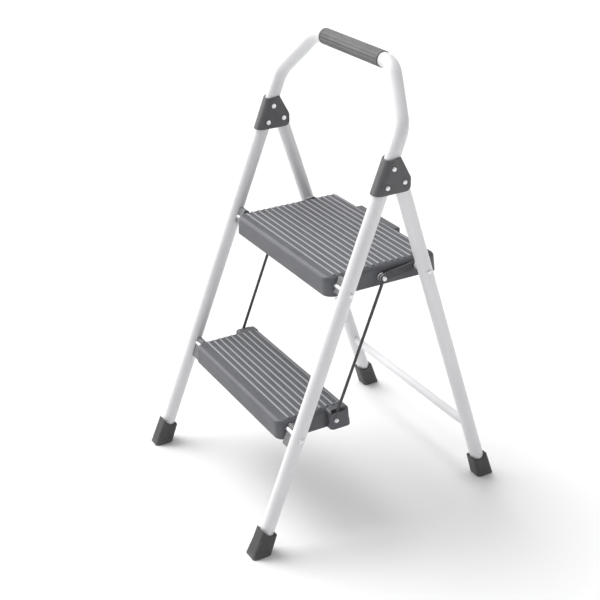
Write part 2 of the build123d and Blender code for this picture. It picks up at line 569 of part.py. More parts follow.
# ---------------------------------------------------------------- steps
def moulded_step(half_width, length, top, axle, rod_pivot, tread_front, ear_front=None):
    """Open-bottomed moulded step: tread ribs on top, webs and pin bosses underneath.

    With an ear front the rear part is wider from there back; without one the rear edge has a lip.
    """
    front = axle[0] - AXLE_SETBACK
    middle = front + length / 2
    bottom = top - STEP_DEPTH
    roof = top - STEP_PLATE
    treads = int((length - tread_front - TREAD_REAR) // TREAD_PITCH) + 1
    with BuildPart() as step:
        with BuildSketch(Plane.XY.offset(bottom)) as outline:
            with Locations((0, middle)):
                Rectangle(2 * half_width, length)
            if ear_front:
                with Locations((0, front + length)):
                    Rectangle(2 * EAR_HALF_WIDTH, front + length - ear_front,
                              align=(Align.CENTER, Align.MAX))
            fillet(outline.vertices().group_by(Axis.Y)[0], FRONT_CORNER)
            fillet(outline.vertices().group_by(Axis.Y)[-1], REAR_CORNER)
        extrude(amount=STEP_DEPTH)
        fillet(step.faces().sort_by(Axis.Z)[-1].edges(), NOSING)
        if not ear_front:
            with BuildSketch(Plane.XY.offset(top - LIP_DEPTH)):
                with Locations(((LIP_LEFT + LIP_RIGHT) / 2, front + length)):
                    RectangleRounded(LIP_RIGHT - LIP_LEFT, 2 * LIP_REACH, LIP_REACH / 2)
            extrude(amount=LIP_DEPTH)
        with BuildSketch(Plane.XY.offset(top)):
            with Locations((0, front + tread_front + (treads - 1) * TREAD_PITCH / 2)):
                with GridLocations(0, TREAD_PITCH, 1, treads):
                    Rectangle(2 * (half_width - TREAD_MARGIN), TREAD_WIDTH)
        extrude(amount=TREAD_HEIGHT, taper=TREAD_TAPER)
        with BuildSketch(Plane.XY.offset(bottom)) as hollow:
            with Locations((0, middle)):
                Rectangle(2 * (half_width - STEP_WALL), length - 2 * STEP_WALL)
            fillet(hollow.vertices().group_by(Axis.Y)[0], FRONT_CORNER - STEP_WALL)
            fillet(hollow.vertices().group_by(Axis.Y)[-1], REAR_CORNER - STEP_WALL)
        extrude(amount=roof - bottom, mode=Mode.SUBTRACT)
        with BuildSketch(Plane.XY.offset(roof)):
            with Locations((0, middle)):
                with GridLocations(WEB_PITCH, 0, WEB_COUNT, 1):
                    Rectangle(WEB_THICK, length - STEP_WALL)
                with GridLocations(0, WEB_PITCH, 1, int((length - WEB_PITCH) // WEB_PITCH)):
                    Rectangle(2 * half_width - STEP_WALL, WEB_THICK)
        extrude(amount=-WEB_DEPTH)
        for hand, side in SIDES:
            with Locations(across(hand, half_width - STEP_WALL - BOSS_LENGTH, axle),
                           across(hand, half_width - STEP_WALL - BOSS_LENGTH, rod_pivot)):
                Cylinder(BOSS_RADIUS, BOSS_LENGTH, align=(Align.CENTER, Align.CENTER, Align.MIN))
        with BuildSketch(Plane.YZ):
            with Locations(axle):
                Circle(AXLE_RADIUS + PIN_CLEARANCE)
        extrude(amount=LEG_BASE_HALF, both=True, mode=Mode.SUBTRACT)
        with BuildSketch(Plane.YZ):
            with Locations(axle):
                Circle(AXLE_RADIUS + WEB_CLEARANCE)
        extrude(amount=half_width - STEP_WALL - BOSS_LENGTH, both=True, mode=Mode.SUBTRACT)
        with BuildSketch(Plane.YZ):
            with Locations(rod_pivot):
                Circle(RIVET_RADIUS + HOLE_CLEARANCE)
        extrude(amount=LEG_BASE_HALF, both=True, mode=Mode.SUBTRACT)
        for hand, side in SIDES:
            with Locations(across(hand, half_width - STEP_WALL - BOSS_LENGTH - RIVET_TAIL, rod_pivot)):
                Cylinder(BOSS_RADIUS, RIVET_TAIL, mode=Mode.SUBTRACT,
                         align=(Align.CENTER, Align.CENTER, Align.MIN))
    return step.part


def rod_channel(hand, pivot, top, rear):
    """Space cut from an ear: open at the top and rear, so the rod can lie back as the stool folds."""
    with BuildPart() as channel:
        with BuildSketch(Plane.YZ.offset(hand * CHANNEL_INNER_X)):
            with Locations(pivot):
                Circle(CHANNEL_RADIUS)
                Rectangle(rear - pivot[0] + REAR_CORNER, CHANNEL_RADIUS, align=(Align.MIN, Align.MAX))
            with Locations(shifted(pivot, -CHANNEL_RADIUS, 0)):
                Rectangle(rear - pivot[0] + CHANNEL_RADIUS + REAR_CORNER, top - pivot[1] + NOSING,
                          align=(Align.MIN, Align.MIN))
        extrude(amount=hand * (CHANNEL_OUTER_X - CHANNEL_INNER_X))
        with BuildSketch(Plane.YZ.offset(hand * ROD_MIDDLE_X)):
            with Locations(Location((*shifted(pivot, 0, EAR_SLIT_UP), 0), (0, 0, EAR_SLIT_TILT))):
                SlotOverall(EAR_SLIT_LENGTH, EAR_SLIT_WIDTH)
        extrude(amount=hand * 2 * (EAR_HALF_WIDTH - ROD_MIDDLE_X))
    return channel.part


with BuildPart() as upper_step:
    add(moulded_step(UPPER_HALF_WIDTH, UPPER_LENGTH, UPPER_STEP_HEIGHT, UPPER_AXLE, UPPER_ROD_PIVOT,
                     UPPER_TREAD_FRONT))

upper_step.part.label = "upper_step"
export_step(upper_step.part, "parts/upper_step.step")

LOWER_REAR = LOWER_AXLE[0] - AXLE_SETBACK + LOWER_LENGTH
LOWER_BOTTOM = LOWER_STEP_HEIGHT - STEP_DEPTH
EAR_FLOOR_UNDERSIDE = LOWER_ROD_PIVOT[1] - CHANNEL_RADIUS - STEP_WALL

with BuildPart() as lower_step:
    add(moulded_step(LOWER_HALF_WIDTH, LOWER_LENGTH, LOWER_STEP_HEIGHT, LOWER_AXLE, LOWER_ROD_PIVOT,
                     LOWER_TREAD_FRONT, EAR_FRONT))
    for hand, side in SIDES:
        add(rod_channel(hand, LOWER_ROD_PIVOT, LOWER_STEP_HEIGHT, LOWER_REAR), mode=Mode.SUBTRACT)
        with BuildSketch(Plane.XY.offset(LOWER_BOTTOM)):
            with Locations((hand * (LOWER_HALF_WIDTH + CHANNEL_OUTER_X) / 2, (EAR_FRONT + LOWER_REAR) / 2)):
                RectangleRounded(CHANNEL_OUTER_X - LOWER_HALF_WIDTH, LOWER_REAR - EAR_FRONT - 2 * EAR_WALL,
                                 EAR_WALL)
        extrude(amount=EAR_FLOOR_UNDERSIDE - LOWER_BOTTOM, mode=Mode.SUBTRACT)

lower_step.part.label = "lower_step"
export_step(lower_step.part, "parts/lower_step.step")


# ---------------------------------------------------------------- rod rivets and washers
def rod_rivets(step_half_width, point, head_x):
    """One rivet at each side, from the step's inner boss out through the rod's flattened end."""
    tail_x = step_half_width - STEP_WALL - BOSS_LENGTH
    one = domed_pin(head_x - tail_x, RIVET_RADIUS, RIVET_HEAD_RADIUS, RIVET_HEAD, RIVET_TAIL)
    with BuildPart() as rivets:
        for hand in (-1, 1):
            with Locations(across(hand, tail_x, point)):
                add(one)
    return rivets.part


with BuildPart() as upper_rod_rivets:
    add(rod_rivets(UPPER_HALF_WIDTH, UPPER_ROD_PIVOT, ROD_HEAD_X))

upper_rod_rivets.part.label = "upper_rod_rivets"
export_step(upper_rod_rivets.part, "parts/upper_rod_rivets.step")

with BuildPart() as lower_rod_rivets:
    add(rod_rivets(LOWER_HALF_WIDTH, LOWER_ROD_PIVOT, EAR_HALF_WIDTH))

lower_rod_rivets.part.label = "lower_rod_rivets"
export_step(lower_rod_rivets.part, "parts/lower_rod_rivets.step")

inner_washer = ring(WASHER_RADIUS, RIVET_RADIUS + HOLE_CLEARANCE, LINK_OFFSET - SIDE_PLAY)
outer_washer = ring(ROD_EYE_RADIUS, RIVET_RADIUS + HOLE_CLEARANCE, LINK_TO_ROD - 2 * SIDE_PLAY)
channel_washer = ring(ROD_EYE_RADIUS, RIVET_RADIUS + HOLE_CLEARANCE, ROD_X - CHANNEL_INNER_X - SIDE_PLAY)

with BuildPart() as upper_rod_washers:
    for hand, side in SIDES:
        with Locations(across(hand, UPPER_HALF_WIDTH, UPPER_ROD_PIVOT)):
            add(inner_washer)
        with Locations(across(hand, LINK_X + LINK_THICK + SIDE_PLAY, UPPER_ROD_PIVOT)):
            add(outer_washer)

upper_rod_washers.part.label = "upper_rod_washers"
export_step(upper_rod_washers.part, "parts/upper_rod_washers.step")

with BuildPart() as lower_rod_washers:
    for hand, side in SIDES:
        with Locations(across(hand, CHANNEL_INNER_X, LOWER_ROD_PIVOT),
                       across(hand, ROD_HEAD_X, LOWER_ROD_PIVOT)):
            add(channel_washer)

lower_rod_washers.part.label = "lower_rod_washers"
export_step(lower_rod_washers.part, "parts/lower_rod_washers.step")

# ---------------------------------------------------------------- rods and lock links
# The rod ties the lower step to the upper one. The lock link ties the upper step to the rear leg.
rod_angle = degrees(atan2(UPPER_ROD_PIVOT[1] - LOWER_ROD_PIVOT[1], UPPER_ROD_PIVOT[0] - LOWER_ROD_PIVOT[0]))
link_angle = degrees(atan2(LINK_PIVOT[1] - UPPER_ROD_PIVOT[1], LINK_PIVOT[0] - UPPER_ROD_PIVOT[0]))

for hand, side in SIDES:
    with BuildPart() as rod:
        with BuildSketch(Plane.YZ.offset(hand * ROD_X)):
            with Locations(UPPER_ROD_PIVOT, LOWER_ROD_PIVOT):
                Circle(ROD_EYE_RADIUS)
            for pivot, towards in ((UPPER_ROD_PIVOT, rod_angle + 180), (LOWER_ROD_PIVOT, rod_angle)):
                with Locations(Location((*pivot, 0), (0, 0, towards))):
                    Rectangle(ROD_NECK, ROD_NECK_WIDTH, align=(Align.MIN, Align.CENTER))
        extrude(amount=hand * ROD_EYE_THICK)
        lower_end = Plane(origin=(hand * ROD_MIDDLE_X, *LOWER_ROD_PIVOT),
                          z_dir=(0, cos(radians(rod_angle)), sin(radians(rod_angle))))
        with BuildSketch(lower_end.offset(ROD_SHANK_START)):
            Circle(ROD_RADIUS)
        extrude(amount=ROD_LENGTH - 2 * ROD_SHANK_START)
        with BuildSketch(Plane.YZ):
            with Locations(UPPER_ROD_PIVOT, LOWER_ROD_PIVOT):
                Circle(RIVET_RADIUS + PIN_CLEARANCE)
        extrude(amount=2 * ROD_X, both=True, mode=Mode.SUBTRACT)

    rod.part.label = f"{side}_rod"
    export_step(rod.part, f"parts/{side}_rod.step")

    with BuildPart() as lock_link:
        with BuildSketch(Plane.YZ.offset(hand * LINK_X)):
            with Locations(((UPPER_ROD_PIVOT[0] + LINK_PIVOT[0]) / 2,
                            (UPPER_ROD_PIVOT[1] + LINK_PIVOT[1]) / 2)):
                SlotCenterToCenter(LINK_LENGTH, LINK_WIDTH, rotation=link_angle)
            with Locations(UPPER_ROD_PIVOT):
                Circle(RIVET_RADIUS + PIN_CLEARANCE, mode=Mode.SUBTRACT)
            with Locations(LINK_PIVOT):
                Circle(RIVET_RADIUS + HOLE_CLEARANCE, mode=Mode.SUBTRACT)
        extrude(amount=hand * LINK_THICK)

    lock_link.part.label = f"{side}_lock_link"
    export_step(lock_link.part, f"parts/{side}_lock_link.step")

    with BuildPart() as link_pin:
        with Locations(across(-hand, -(LINK_X + LINK_THICK), LINK_PIVOT)):
            add(domed_pin(LINK_THICK, RIVET_RADIUS, RIVET_HEAD_RADIUS, LINK_PIN_HEAD))

    link_pin.part.label = f"{side}_link_pin"
    export_step(link_pin.part, f"parts/{side}_link_pin.step")
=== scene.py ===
"""Looks of the folding two-step stool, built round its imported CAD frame. Metres, +Z up."""
import json
from math import atan2, degrees, pi, radians

import bmesh
import bpy
from mathutils import Euler, Matrix, Vector


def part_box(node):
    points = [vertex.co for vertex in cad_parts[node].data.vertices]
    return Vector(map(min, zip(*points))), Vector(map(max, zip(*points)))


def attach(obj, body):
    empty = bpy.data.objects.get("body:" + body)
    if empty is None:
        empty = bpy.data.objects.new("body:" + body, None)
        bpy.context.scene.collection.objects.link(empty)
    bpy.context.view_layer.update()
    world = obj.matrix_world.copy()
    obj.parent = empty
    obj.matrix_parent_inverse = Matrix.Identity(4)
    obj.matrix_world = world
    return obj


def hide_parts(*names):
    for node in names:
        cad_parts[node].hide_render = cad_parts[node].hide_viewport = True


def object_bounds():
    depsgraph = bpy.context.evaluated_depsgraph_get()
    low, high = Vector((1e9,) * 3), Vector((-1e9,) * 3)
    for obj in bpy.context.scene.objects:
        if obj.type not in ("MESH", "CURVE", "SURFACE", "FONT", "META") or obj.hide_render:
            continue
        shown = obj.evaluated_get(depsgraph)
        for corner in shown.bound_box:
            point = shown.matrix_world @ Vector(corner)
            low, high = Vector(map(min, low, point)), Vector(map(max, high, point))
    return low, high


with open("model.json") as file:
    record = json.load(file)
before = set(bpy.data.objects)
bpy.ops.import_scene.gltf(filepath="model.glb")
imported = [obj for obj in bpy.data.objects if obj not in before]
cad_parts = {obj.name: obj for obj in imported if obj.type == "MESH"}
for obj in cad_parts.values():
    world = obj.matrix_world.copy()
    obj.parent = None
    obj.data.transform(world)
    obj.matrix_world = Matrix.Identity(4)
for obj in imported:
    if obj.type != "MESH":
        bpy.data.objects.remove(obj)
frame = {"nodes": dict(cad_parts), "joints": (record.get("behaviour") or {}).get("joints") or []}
cad_low, cad_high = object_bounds()
nodes = frame["nodes"]

# ---------------------------------------------------------------- front frame tube
# The legs, shoulders and handle bar are one bent steel tube, powder coated white
# after it was pierced for the rivets and for the two step axles.


class Wire:
    """One output in a material's tree. Arithmetic on it adds Math nodes to that tree."""

    def __init__(self, tree, socket=None):
        self.tree = tree
        self.socket = socket

    def node(self, kind, settings, sockets, out=0):
        """Adds a node: its settings are set first, then the values or wires of its sockets."""
        made = self.tree.nodes.new("ShaderNode" + kind)
        for name, value in settings.items():
            setattr(made, name, value)
        for name, value in sockets.items():
            if isinstance(value, Wire):
                self.tree.links.new(value.socket, made.inputs[name])
            else:
                made.inputs[name].default_value = value
        return Wire(self.tree, made.outputs[out])

    def maths(self, operation, first, second=0.0):
        return self.node("Math", {"operation": operation}, {0: first, 1: second})

    def __add__(self, other):
        return self.maths("ADD", self, other)

    def __sub__(self, other):
        return self.maths("SUBTRACT", self, other)

    def __rsub__(self, other):
        return self.maths("SUBTRACT", other, self)

    def __mul__(self, other):
        return self.maths("MULTIPLY", self, other)

    __radd__ = __add__
    __rmul__ = __mul__


def new_finish(name, rough=0.5):
    """A new material, with a wire of the piece's own coordinates and its main shader."""
    finish = bpy.data.materials.new(name)
    finish.use_nodes = True
    tree = finish.node_tree
    shader = tree.nodes["Principled BSDF"]
    shader.inputs["Roughness"].default_value = rough
    place = Wire(tree).node("TexCoord", {}, {}, "Object")
    return finish, place, shader


def feed(shader, **wires):
    """Joins wires to the main shader's sockets; an underscore stands for a space."""
    for name, wire in wires.items():
        wire.tree.links.new(wire.socket, shader.inputs[name.replace("_", " ")])


def grain(place, scale, detail=2.0, roughness=0.5):
    """Noise from 0 to 1 with features about 1 / scale metres across."""
    return place.node("TexNoise", {}, {"Vector": place, "Scale": scale, "Detail": detail,
                                       "Roughness": roughness})


def stretched(place, along):
    """The same place, squeezed so that noise on it runs long along X, Y or Z by those factors."""
    return place.node("Mapping", {}, {"Vector": place, "Scale": along})


def between(low, high, value):
    """0 below low, 1 above high, with a straight ramp from one to the other."""
    return value.node("MapRange", {}, {"Value": value, "From Min": low, "From Max": high})


def mixed(mask, first, second):
    """Colour that goes from first to second as the mask goes from 0 to 1."""
    return mask.node("Mix", {"data_type": "RGBA"}, {0: mask, 6: first, 7: second}, 2)


def relief(height, depth):
    """Normal of a surface that rises by depth, in metres, where height goes from 0 to 1."""
    return height.node("Bump", {}, {"Height": height, "Distance": depth, "Strength": 1.0})


def edge_wear(place, size):
    """1 along rounded edges and 0 on flats, from the bevelled normal against the true one."""
    soft = place.node("Bevel", {"samples": 4}, {"Radius": size})
    true = place.node("NewGeometry", {}, {}, "Normal")
    same = place.node("VectorMath", {"operation": "DOT_PRODUCT"}, {0: soft, 1: true}, "Value")
    return between(0.0, 0.12, 1 - same)


def powder_coat():
    """White polyester powder: satin, with a faint orange peel and a little grey in the film."""
    finish, place, shader = new_finish("white_powder_coat")
    cloud = grain(place, 9.0)
    peel = grain(place, 420.0, 1.0)
    scuffs = between(0.66, 0.72, grain(stretched(place, (1.0, 1.0, 0.25)), 120.0, 4.0, 0.7))
    clean = mixed(between(0.35, 0.75, cloud), (0.80, 0.80, 0.81, 1), (0.85, 0.85, 0.857, 1))
    feed(shader,
         Base_Color=mixed(0.35 * scuffs, clean, (0.62, 0.62, 0.62, 1)),
         Roughness=0.30 + 0.10 * peel + 0.12 * scuffs,
         Normal=relief(peel, 0.00008))
    shader.inputs["Coat Weight"].default_value = 0.2
    shader.inputs["Coat Roughness"].default_value = 0.15
    return finish


white_coat = powder_coat()


def repaint(node, finish):
    """Gives a carried-over CAD node one finish all over."""
    for slot in nodes[node].material_slots:
        slot.material = finish


repaint("front_frame_tube", white_coat)

# ---------------------------------------------------------------- handle grip
# A grey vinyl sleeve pushed over the middle of the handle bar, with shallow lengthwise
# flutes between two plain collars and rounded ends.


def start(name, primitive, **settings):
    """Adds a primitive, applies its place to its mesh and leaves it in edit mode."""
    if bpy.context.mode == "EDIT_MESH":
        bpy.ops.object.mode_set(mode="OBJECT")
    bpy.ops.object.select_all(action="DESELECT")
    primitive(**settings)
    piece = bpy.context.object
    piece.name = name
    bpy.ops.object.transform_apply(location=True, rotation=True, scale=True)
    bpy.ops.object.mode_set(mode="EDIT")
    bpy.ops.mesh.select_all(action="DESELECT")
    return piece


def pick(kind, test):
    """Selects only the vertices, edges or faces that pass a test of their middle and themselves."""
    bpy.ops.mesh.select_mode(type=kind)
    bpy.ops.mesh.select_all(action="DESELECT")
    mesh = bmesh.from_edit_mesh(bpy.context.object.data)
    for part in {"VERT": mesh.verts, "EDGE": mesh.edges, "FACE": mesh.faces}[kind]:
        if kind == "VERT":
            middle = part.co
        else:
            middle = sum((corner.co for corner in part.verts), Vector()) / len(part.verts)
        if test(middle, part):
            part.select_set(True)
    mesh.select_flush_mode()
    bmesh.update_edit_mesh(bpy.context.object.data)


def slice_faces(test, normal, place):
    """Cuts the faces that pass a test with one plane."""
    pick("FACE", test)
    bpy.ops.mesh.bisect(plane_co=place, plane_no=normal)


def as_part(piece, body, slot, finish, *replaced, angle=32):
    """Ends a piece: smoothing, finish, the body that it rides on and the CAD nodes it stands for."""
    if bpy.context.object.mode == "EDIT":
        bpy.ops.object.mode_set(mode="OBJECT")
    bpy.ops.object.select_all(action="DESELECT")
    piece.select_set(True)
    bpy.context.view_layer.objects.active = piece
    bpy.ops.object.shade_smooth_by_angle(angle=radians(angle))
    flats = piece.modifiers.new("even flats", "WEIGHTED_NORMAL")
    flats.keep_sharp = True
    bpy.ops.object.modifier_apply(modifier=flats.name)
    piece.data.materials.clear()
    piece.data.materials.append(finish)
    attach(piece, body)
    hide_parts(*replaced)


grip_low, grip_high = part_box("handle_grip")
grip_middle = (grip_low + grip_high) / 2
grip_radius = (grip_high.z - grip_low.z) / 2
flutes = 14
facets_each = 6
flute_depth = 0.0008
collar = 0.004
end_round = 0.0014
sleeve_wall = 0.0016

grip = start("grip_sleeve", bpy.ops.mesh.primitive_cylinder_add, vertices=flutes * facets_each,
             radius=grip_radius, depth=grip_high.x - grip_low.x, location=grip_middle,
             rotation=(0, pi / 2, 0))
for hand in (-1, 1):
    for inset in (collar, collar + flute_depth):
        cut = (hand * (grip_high.x - inset), 0, 0)
        slice_faces(lambda middle, face: True, (1, 0, 0), cut)


def in_flute(middle, vertex):
    """True for the line of vertices along the bottom of each flute, between the collars."""
    turn = degrees(atan2(middle.z - grip_middle.z, middle.y - grip_middle.y)) % (360 / flutes)
    near = min(turn, 360 / flutes - turn) < 360 / flutes / facets_each * 1.2
    return near and abs(middle.x) < grip_high.x - collar - flute_depth / 2


pick("VERT", in_flute)
shrink = 1 - flute_depth / grip_radius
bpy.ops.transform.resize(value=(1, shrink, shrink), center_override=grip_middle)
pick("FACE", lambda middle, face: abs(face.normal.x) > 0.9 and len(face.verts) > 4)
bpy.ops.mesh.inset(thickness=sleeve_wall)
bpy.ops.mesh.bridge_edge_loops()
pick("EDGE", lambda middle, edge: abs(abs(edge.verts[0].co.x) - grip_high.x) < 1e-5
     and abs(abs(edge.verts[1].co.x) - grip_high.x) < 1e-5
     and (edge.verts[0].co - grip_middle).yz.length > grip_radius - sleeve_wall / 2
     and (edge.verts[1].co - grip_middle).yz.length > grip_radius - sleeve_wall / 2)
bpy.ops.mesh.bevel(offset=end_round, segments=3)


def grip_vinyl():
    """Soft grey vinyl: matt, fine grained, a little polished where hands have held it."""
    finish, place, shader = new_finish("grip_vinyl")
    wear_and_highlight = grain(stretched(place, (0.4, 1.0, 1.0)), 60.0, 3.0)
    pores = grain(place, 1400.0, 1.0)
    feed(shader,
         Base_Color=mixed(between(0.3, 0.7, wear_and_highlight), (0.105, 0.105, 0.108, 1), (0.15, 0.15, 0.153, 1)),
         Roughness=0.60 - 0.12 * wear_and_highlight,
         Normal=relief(pores, 0.00006))
    return finish


as_part(grip, "front_frame", "grip_rubber", grip_vinyl(), "handle_grip", angle=24)

# ---------------------------------------------------------------- hinge brackets
# Each bracket is a steel plate folded round the front tube, with a dished seat for
# each rivet, painted dark grey. The rear leg hangs between its two cheeks.


def copied(node, name):
    """A copy of a CAD node's mesh, merged and with its flat faces joined, left in edit mode."""
    if bpy.context.mode == "EDIT_MESH":
        bpy.ops.object.mode_set(mode="OBJECT")
    bpy.ops.object.select_all(action="DESELECT")
    piece = bpy.data.objects.new(name, nodes[node].data.copy())
    bpy.context.collection.objects.link(piece)
    piece.select_set(True)
    bpy.context.view_layer.objects.active = piece
    bpy.ops.object.mode_set(mode="EDIT")
    bpy.ops.mesh.select_all(action="SELECT")
    bpy.ops.mesh.remove_doubles(threshold=0.00001)
    bpy.ops.mesh.dissolve_limited(angle_limit=radians(0.4))
    return piece


def softened(piece, width, segments=2, angle=38):
    """Rounds every edge of a piece that is sharper than the angle."""
    if bpy.context.object.mode == "EDIT":
        bpy.ops.object.mode_set(mode="OBJECT")
    bevel = piece.modifiers.new("soft edges", "BEVEL")
    bevel.width = width
    bevel.segments = segments
    bevel.limit_method = "ANGLE"
    bevel.angle_limit = radians(angle)
    bevel.use_clamp_overlap = False
    bpy.ops.object.modifier_apply(modifier=bevel.name)


def bracket_paint():
    """Dark grey enamel over formed steel: satin, with faint rubs along its edges."""
    finish, place, shader = new_finish("bracket_paint")
    cloud = grain(place, 55.0, 3.0)
    speckle = grain(place, 900.0, 1.0)
    rubbed = edge_wear(place, 0.0009) * between(0.42, 0.62, grain(place, 170.0, 4.0, 0.7))
    paint = mixed(between(0.3, 0.7, cloud), (0.092, 0.092, 0.096, 1), (0.118, 0.118, 0.122, 1))
    feed(shader,
         Base_Color=mixed(0.5 * rubbed, paint, (0.24, 0.24, 0.245, 1)),
         Roughness=0.40 + 0.14 * cloud,
         Normal=relief(speckle, 0.00005))
    return finish


dark_enamel = bracket_paint()
sheet_round = 0.0005
for side in ("left", "right"):
    node = f"{side}_hinge_bracket"
    bracket = copied(node, f"{side}_folded_bracket")
    softened(bracket, sheet_round)
    as_part(bracket, "front_frame", "hinge_bracket", dark_enamel, node)

# ---------------------------------------------------------------- rivets and step axles
# Zinc plated steel: domed heads with a thin flange, snapped tails, and two long axles
# that carry the steps, headed over outside the legs.


def domed_shank(name, hand, tail_x, seat_x, y, z, shank, head, rise, tail=None):
    """A shank along X with a domed head at its outer end and, where given, a formed tail."""
    length = seat_x - tail_x
    piece = start(name, bpy.ops.mesh.primitive_cylinder_add, vertices=28, radius=shank,
                  depth=length, location=(hand * (tail_x + seat_x) / 2, y, z),
                  rotation=(0, hand * pi / 2, 0))
    pick("FACE", lambda spot, face: hand * face.normal.x > 0.9)
    widen = head / shank
    bpy.ops.mesh.extrude_region_move()
    bpy.ops.transform.resize(value=(1, widen, widen), center_override=(hand * seat_x, y, z))
    bpy.ops.mesh.extrude_region_move(TRANSFORM_OT_translate={"value": (hand * rise, 0, 0)})
    pick("EDGE", lambda spot, edge: all(hand * end.co.x > seat_x + rise * 0.9 for end in edge.verts))
    bpy.ops.mesh.bevel(offset=rise * dome_share, segments=6, profile=0.5)
    if tail:
        pick("FACE", lambda spot, face: hand * face.normal.x < -0.9 and hand * spot.x < tail_x + 0.0001)
        bpy.ops.mesh.extrude_region_move()
        bpy.ops.transform.resize(value=(1, widen, widen), center_override=(hand * tail_x, y, z))
        bpy.ops.mesh.extrude_region_move(TRANSFORM_OT_translate={"value": (-hand * tail, 0, 0)})
    bpy.ops.mesh.select_all(action="SELECT")
    bpy.ops.mesh.remove_doubles(threshold=0.000001)
    bpy.ops.mesh.normals_make_consistent(inside=False)
    bpy.ops.object.mode_set(mode="OBJECT")
    return piece


def joined(name, pieces):
    """Like pieces that are one node, as one object."""
    bpy.ops.object.select_all(action="DESELECT")
    for piece in pieces:
        piece.select_set(True)
    bpy.context.view_layer.objects.active = pieces[0]
    if len(pieces) > 1:
        bpy.ops.object.join()
    pieces[0].name = name
    return pieces[0]


def zinc():
    """Bright zinc plate, slightly cloudy, with a fine drawn grain."""
    finish, place, shader = new_finish("zinc_plate")
    cloud = grain(place, 300.0, 2.0)
    feed(shader,
         Base_Color=mixed(between(0.3, 0.7, cloud), (0.70, 0.71, 0.72, 1), (0.86, 0.86, 0.87, 1)),
         Roughness=0.26 + 0.16 * cloud,
         Normal=relief(cloud, 0.00002))
    shader.inputs["Metallic"].default_value = 0.85
    return finish


zinc_plate = zinc()
dome_share = 0.86
shank_radius = 0.003
head_radius = 0.0044
head_rise = 0.0026
tail_rise = 0.0012
axle_radius = 0.004
axle_head = 0.005
axle_rise = 0.0028
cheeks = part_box("right_hinge_bracket")
for node, count in (("bracket_rivets", 2), ("rear_pivot_rivets", 1)):
    low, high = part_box(node)
    seat_x = high.x - head_rise
    tail_x = cheeks[0].x + (cheeks[1].x - seat_x)
    seats = [(low.y + head_radius, low.z + head_radius), (high.y - head_radius, high.z - head_radius)]
    rivets = [domed_shank(node, hand, tail_x, seat_x, y, z, shank_radius, head_radius, head_rise, tail_rise)
              for hand in (-1, 1) for y, z in seats[:count]]
    as_part(joined(f"{node}_zinc", rivets), "front_frame", "zinc_steel", zinc_plate, node)

spacer_play = 0.0005
rod_seats = (("upper_rod_rivets", "upper_step_body"), ("lower_rod_rivets", "lower_step_body"))
boss_length = 0.012
step_wall = 0.0028
step_halves = {f"{level}_step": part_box(f"right_{level}_spacer")[0].x - spacer_play
               for level in ("upper", "lower")}
for node, body in rod_seats:
    low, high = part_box(node)
    tail_x = step_halves[body[:-5]] - step_wall - boss_length
    rivets = [domed_shank(node, hand, tail_x, high.x - head_rise, (low.y + high.y) / 2,
                          (low.z + high.z) / 2, shank_radius, head_radius, head_rise, tail_rise)
              for hand in (-1, 1)]
    as_part(joined(f"{node}_zinc", rivets), body, "zinc_steel", zinc_plate, node)

low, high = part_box("leg_rivets")
inner_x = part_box("right_link_spacer")[0].x
rivets = [domed_shank("leg_rivet", hand, inner_x, high.x - head_rise, (low.y + high.y) / 2,
                      (low.z + high.z) / 2, shank_radius, head_radius, head_rise) for hand in (-1, 1)]
as_part(joined("leg_rivets_zinc", rivets), "rear_frame", "zinc_steel", zinc_plate, "leg_rivets")

for node in ("upper_step_axle", "lower_step_axle"):
    low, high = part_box(node)
    halves = [domed_shank(node, hand, 0.0, high.x - axle_rise, (low.y + high.y) / 2, (low.z + high.z) / 2,
                          axle_radius, axle_head, axle_rise) for hand in (-1, 1)]
    as_part(joined(f"{node}_zinc", halves), "front_frame", "zinc_steel", zinc_plate, node)

# ---------------------------------------------------------------- rear frame
# Two straight steel tubes and a thin cross tube squeezed flat where it is welded
# between them, all powder coated together in the same white as the front tube.
for node in ("left_rear_leg", "right_rear_leg", "rear_brace"):
    repaint(node, white_coat)

# ---------------------------------------------------------------- rubber boots
# Black rubber boots moulded to slip over each leg's end, with a rim that dips at both
# sides and a recessed sole. The floor has scuffed and dusted their lower edges.


def boot_rubber():
    """Charcoal rubber: matt, finely grained, greyer with dust near the floor."""
    finish, place, shader = new_finish("boot_rubber")
    height = place.node("SeparateXYZ", {}, {"Vector": place}, "Z")
    cloud = grain(place, 60.0, 3.0)
    dust = between(0.012, 0.0, height) * between(0.35, 0.7, grain(place, 260.0, 4.0, 0.7))
    pores = grain(place, 1100.0, 2.0)
    base = mixed(between(0.3, 0.7, cloud), (0.052, 0.052, 0.054, 1), (0.075, 0.075, 0.077, 1))
    feed(shader,
         Base_Color=mixed(0.6 * dust, base, (0.21, 0.21, 0.20, 1)),
         Roughness=0.50 + 0.2 * cloud,
         Normal=relief(pores, 0.00008))
    return finish


black_rubber = boot_rubber()
boot_round = 0.0010
least_sole = 0.0003
sole_rim = 0.003
sole_depth = 0.0015
for side in ("left", "right"):
    for end, body in (("front", "front_frame"), ("rear", "rear_frame")):
        node = f"{side}_{end}_foot"
        boot = copied(node, f"{side}_{end}_boot")
        softened(boot, boot_round, 3)
        bpy.ops.object.mode_set(mode="EDIT")
        pick("FACE", lambda middle, face: face.normal.z < -0.99 and middle.z < 0.001
             and face.calc_area() > least_sole)
        bpy.ops.mesh.inset(thickness=sole_rim)
        bpy.ops.mesh.extrude_region_move(TRANSFORM_OT_translate={"value": (0, 0, sole_depth)})
        as_part(boot, body, "foot_rubber", black_rubber, node)

# ---------------------------------------------------------------- steps
# Each step is one grey resin moulding, open underneath: a ribbed deck with a rolled rim,
# a deep skirt, stiffening webs, and bosses that take the axle and the rods' rivets.


